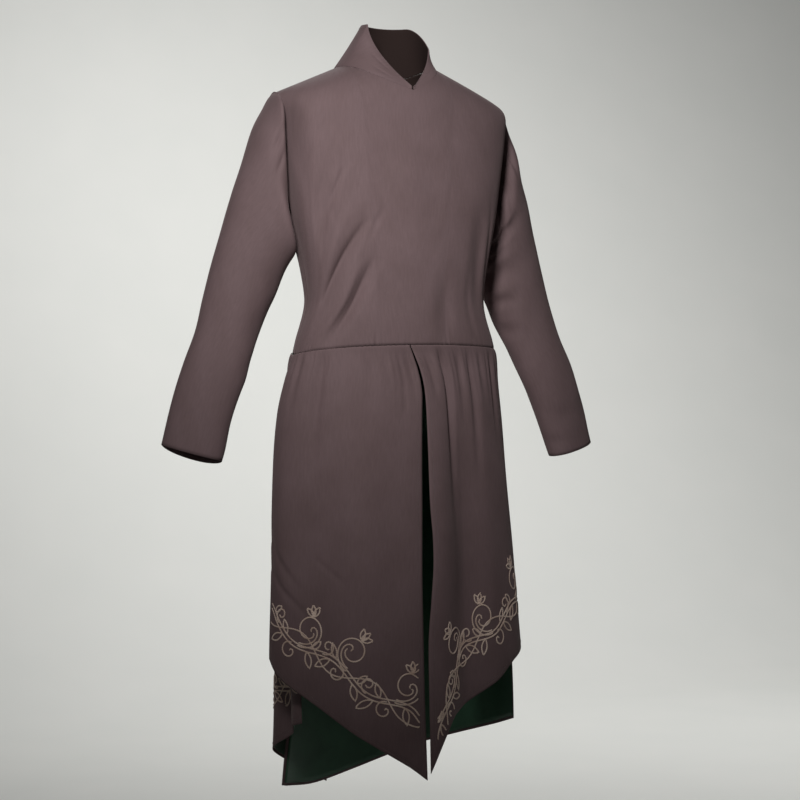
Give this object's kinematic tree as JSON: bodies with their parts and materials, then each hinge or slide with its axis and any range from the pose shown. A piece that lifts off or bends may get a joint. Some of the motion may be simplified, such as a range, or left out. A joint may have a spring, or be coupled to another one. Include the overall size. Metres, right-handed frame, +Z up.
{
  "type": "embroidered tunic",
  "caption": "Worn-shape long tunic with a stand collar open in a V, set-in sleeves and pointed, green-lined skirt panels that part at the front, back and sides.",
  "frame": {"origin": "middle of the neck, level with the meeting of collar and shoulder seams, where the wearer's shoulders hold the tunic", "axes": "+Z up, -Y to the front, +X to the wearer's left"},
  "size_m": [0.8102, 0.3687, 1.3404],
  "materials": {
    "outer_cloth": "matte plain weave",
    "lining_cloth": "smooth lining, soft sheen"
  },
  "bodies": {
    "root": {"bodice_front": "outer_cloth", "bodice_back": "outer_cloth", "collar": "outer_cloth", "sleeve_left": "outer_cloth", "sleeve_right": "outer_cloth", "skirt_front_right": "outer_cloth", "skirt_front_right_lining": "lining_cloth", "skirt_front_left": "outer_cloth", "skirt_front_left_lining": "lining_cloth", "skirt_back_right": "outer_cloth", "skirt_back_right_lining": "lining_cloth", "skirt_back_left": "outer_cloth", "skirt_back_left_lining": "lining_cloth"}
  },
  "joints": []
}
